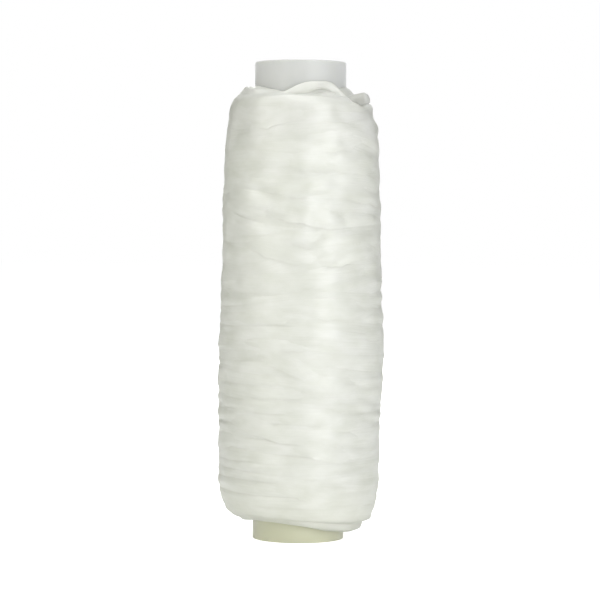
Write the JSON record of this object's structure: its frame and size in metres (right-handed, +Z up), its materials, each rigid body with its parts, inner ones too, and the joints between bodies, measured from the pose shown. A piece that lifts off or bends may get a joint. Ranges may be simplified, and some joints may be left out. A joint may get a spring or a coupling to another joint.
{
  "type": "thread spool",
  "caption": "Slim open plastic tube with no flanges, wound with a fat barrel of pale glossy elastic thread that ends in a short loose tail.",
  "frame": {"origin": "centre of the tube's foot, on the tube's axis", "axes": "+Z up the tube's axis from foot to head; the pictured side faces -Y, with +X to its right"},
  "size_m": [0.0208, 0.0208, 0.06],
  "materials": {
    "tube_plastic": "translucent off-white moulded plastic",
    "elastic_thread": "glossy, slightly translucent white elastic thread"
  },
  "bodies": {
    "root": {"core_tube": "tube_plastic", "inner_winding": "elastic_thread", "outer_turns": "elastic_thread"}
  },
  "joints": []
}
